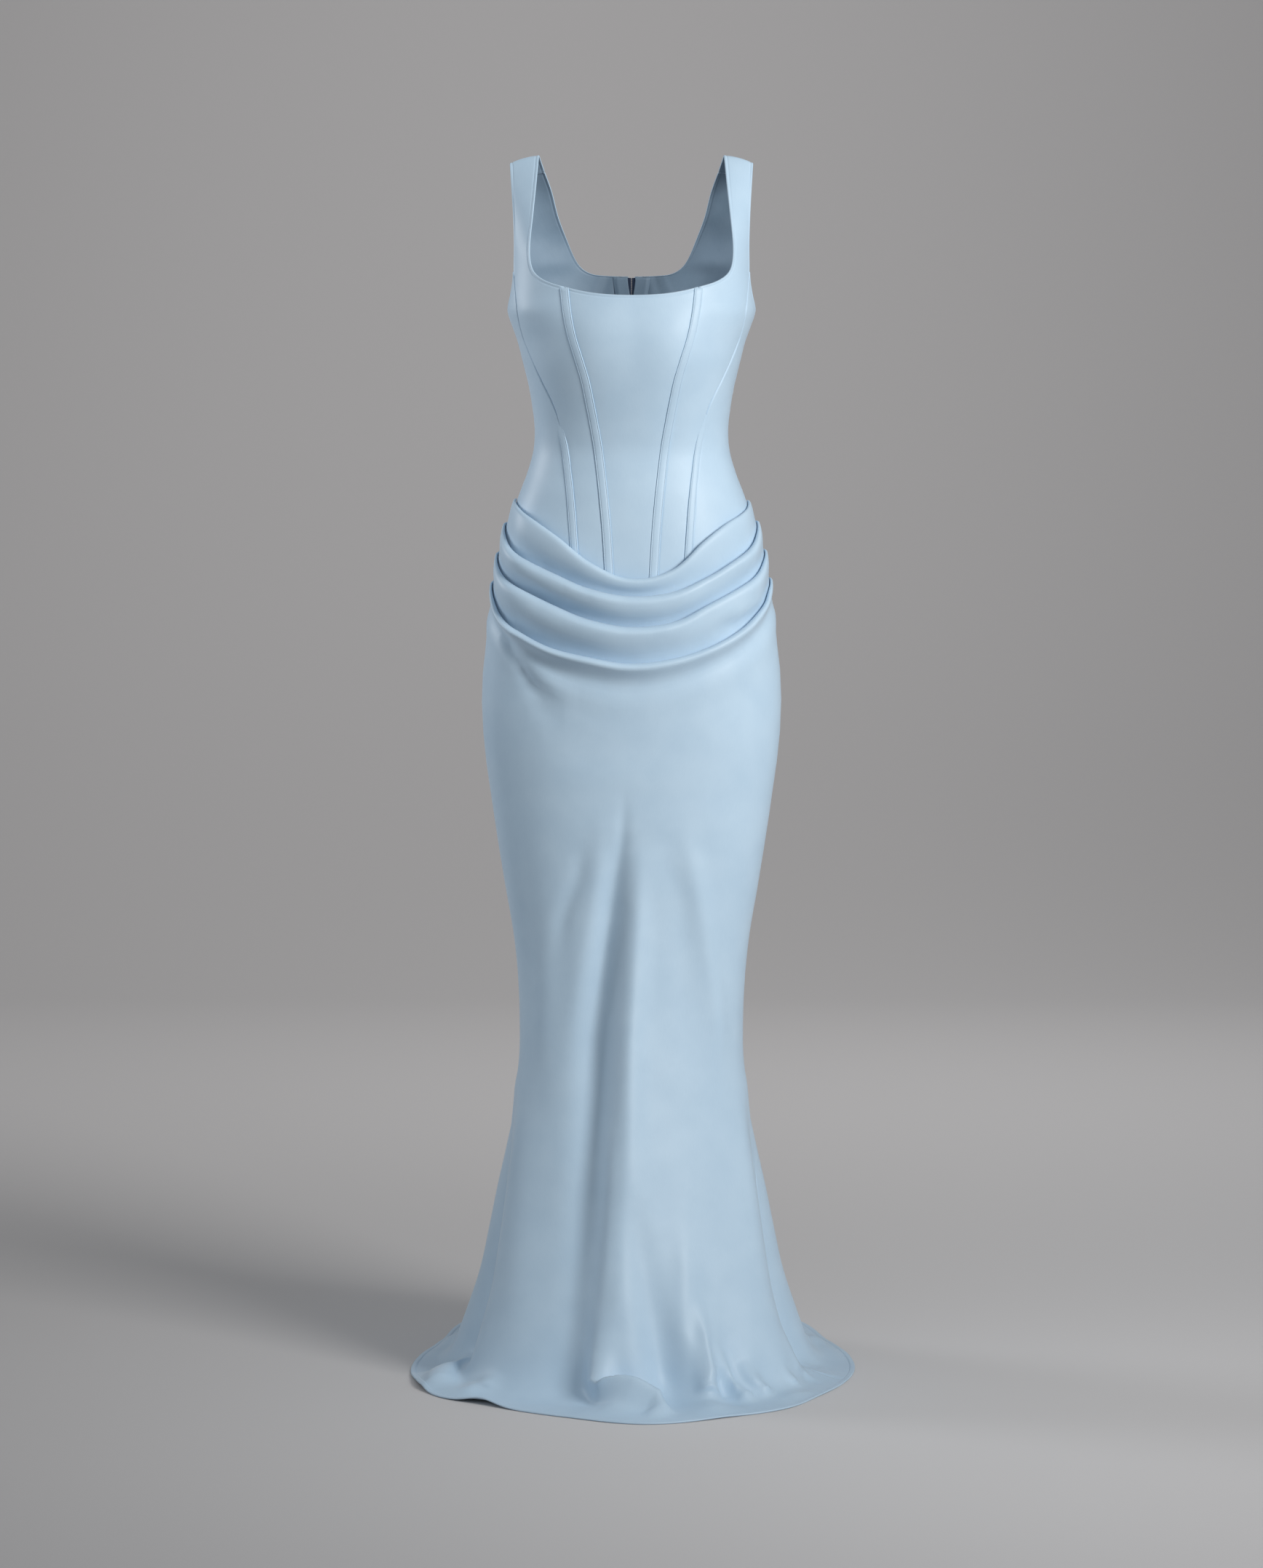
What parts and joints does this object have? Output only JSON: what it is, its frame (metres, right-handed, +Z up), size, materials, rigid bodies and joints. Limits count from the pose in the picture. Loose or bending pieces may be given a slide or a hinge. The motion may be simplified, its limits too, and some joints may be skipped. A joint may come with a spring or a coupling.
{
  "type": "corset maxi dress",
  "caption": "Pale blue satin maxi dress with wide shoulder straps, a boned corset bodice, a pleated hip drape, a zip down the back and a hem that spreads on the floor.",
  "frame": {"origin": "midway between the tops of the two shoulder straps, where the wearer's shoulders carry the dress", "axes": "+Z up, front towards -Y, the wearer's left side towards +X"},
  "size_m": [0.5282, 0.689, 1.4385],
  "materials": {
    "satin": "soft sheen, warp-faced satin",
    "zip_tape": "matte woven tape",
    "zip_metal": "satin lacquer"
  },
  "bodies": {
    "dress": {"centre_front": "satin", "side_front_left": "satin", "side_front_right": "satin", "side_panel_left": "satin", "side_panel_right": "satin", "side_back_left": "satin", "side_back_right": "satin", "back_left": "satin", "back_right": "satin", "princess_channel_left": "satin", "princess_channel_right": "satin", "outer_channel_left": "satin", "outer_channel_right": "satin", "skirt_front": "satin", "skirt_back_left": "satin", "skirt_back_right": "satin", "zip_tape_left": "zip_tape", "zip_tape_right": "zip_tape", "zip_slider": "zip_metal"},
    "zip_pull": {"zip_pull": "zip_metal"}
  },
  "joints": [
    {"name": "zip_pull_swing", "type": "hinge", "parent": "dress", "child": "zip_pull", "pos_m": [0, 0.10357, -0.17], "axis": [1, 0, 0], "range_deg": [-10, 150]}
  ]
}
